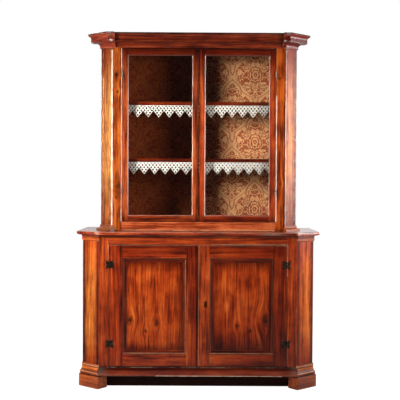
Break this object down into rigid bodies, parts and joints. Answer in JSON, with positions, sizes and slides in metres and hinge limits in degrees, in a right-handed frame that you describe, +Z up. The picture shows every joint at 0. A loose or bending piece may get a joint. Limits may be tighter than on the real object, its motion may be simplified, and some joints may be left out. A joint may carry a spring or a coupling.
{
  "type": "sideboard with hutch",
  "caption": "Tall wooden cupboard with canted corners: a panelled base with hinged doors and a glazed hutch with lace-edged shelves, for storing and showing crockery.",
  "frame": {"origin": "centre of the bounding box on the floor under the feet", "axes": "+Z up, +X to the right seen from the front, +Y from the front to the back"},
  "size_m": [1.516, 0.58, 2.2],
  "materials": {
    "walnut": "aged shellac, worn arrises",
    "poplar": "bare, darkened with age",
    "wrought_iron": "black, dull",
    "brass": "tarnished",
    "glass": "clear drawn pane",
    "damask": "woven damask",
    "lace": "white cotton filet lace"
  },
  "bodies": {
    "carcass": {"frieze_rail": "walnut", "lower_front_stiles": "walnut", "lower_sides": "walnut", "bottom_rail": "walnut", "lower_canted_posts": "walnut", "post_caps": "walnut", "pedestal_mouldings": "walnut", "front_feet": "walnut", "top_slab": "walnut", "slab_moulding": "walnut", "upper_base_rail": "walnut", "upper_top_rail": "walnut", "upper_front_stiles": "walnut", "upper_sides": "walnut", "upper_high_shelf": "walnut", "upper_low_shelf": "walnut", "upper_canted_posts": "walnut", "upper_post_bases": "walnut", "cornice_front": "walnut", "cornice_ends": "walnut", "upper_floor_board": "walnut", "lower_back": "poplar", "lower_floor_board": "poplar", "lower_shelf": "poplar", "lower_shelf_cleats": "poplar", "rear_feet": "poplar", "plinth_board": "poplar", "upper_back": "poplar", "upper_top_board": "poplar", "upper_shelf_cleats": "poplar", "lower_hinge_frame_leaves": "wrought_iron", "upper_hinge_frame_barrels": "wrought_iron", "damask_lining": "damask", "lace_high": "lace", "lace_low": "lace"},
    "lower_left_door": {"lower_left_door_frame": "walnut", "lower_left_door_panel": "walnut", "lower_left_door_panel_moulding": "walnut", "lower_left_door_hinge_leaves": "wrought_iron", "lower_left_latch_plate": "wrought_iron"},
    "lower_right_door": {"lower_right_door_frame": "walnut", "lower_right_door_panel": "walnut", "lower_right_door_panel_moulding": "walnut", "lower_right_door_hinge_leaves": "wrought_iron", "lower_keyhole_plate": "brass", "lower_lock_case": "wrought_iron"},
    "upper_left_door": {"upper_left_door_frame": "walnut", "upper_left_door_glass": "glass", "upper_left_door_glass_beads": "walnut", "upper_left_door_hinge_barrels": "wrought_iron", "upper_left_latch_plate": "wrought_iron"},
    "upper_right_door": {"upper_right_door_frame": "walnut", "upper_right_door_glass": "glass", "upper_right_door_glass_beads": "walnut", "upper_right_door_hinge_barrels": "wrought_iron", "upper_lock_case": "wrought_iron"},
    "lower_lock_bolt": {"lower_lock_bolt": "wrought_iron"},
    "upper_lock_bolt": {"upper_lock_bolt": "wrought_iron"},
    "lower_left_latch": {"lower_left_latch": "wrought_iron"},
    "upper_left_latch": {"upper_left_latch": "wrought_iron"}
  },
  "joints": [
    {"name": "lower_left_door_hinge", "type": "hinge", "parent": "carcass", "child": "lower_left_door", "pos_m": [-0.549, -0.2586, 0.523], "axis": [0, 0, -1], "range_deg": [0, 110]},
    {"name": "lower_right_door_hinge", "type": "hinge", "parent": "carcass", "child": "lower_right_door", "pos_m": [0.549, -0.2586, 0.523], "axis": [0, 0, 1], "range_deg": [0, 110]},
    {"name": "upper_left_door_hinge", "type": "hinge", "parent": "carcass", "child": "upper_left_door", "pos_m": [-0.481, -0.1576, 1.58], "axis": [0, 0, -1], "range_deg": [0, 110]},
    {"name": "upper_right_door_hinge", "type": "hinge", "parent": "carcass", "child": "upper_right_door", "pos_m": [0.481, -0.1576, 1.58], "axis": [0, 0, 1], "range_deg": [0, 110]},
    {"name": "lower_lock_bolt_slide", "type": "slide", "parent": "lower_right_door", "child": "lower_lock_bolt", "axis": [-1, 0, 0], "range_m": [0, 0.012]},
    {"name": "upper_lock_bolt_slide", "type": "slide", "parent": "upper_right_door", "child": "upper_lock_bolt", "axis": [-1, 0, 0], "range_m": [0, 0.012]},
    {"name": "lower_left_latch_slide", "type": "slide", "parent": "lower_left_door", "child": "lower_left_latch", "axis": [0, 0, 1], "range_m": [0, 0.022]},
    {"name": "upper_left_latch_slide", "type": "slide", "parent": "upper_left_door", "child": "upper_left_latch", "axis": [0, 0, 1], "range_m": [0, 0.022]}
  ]
}
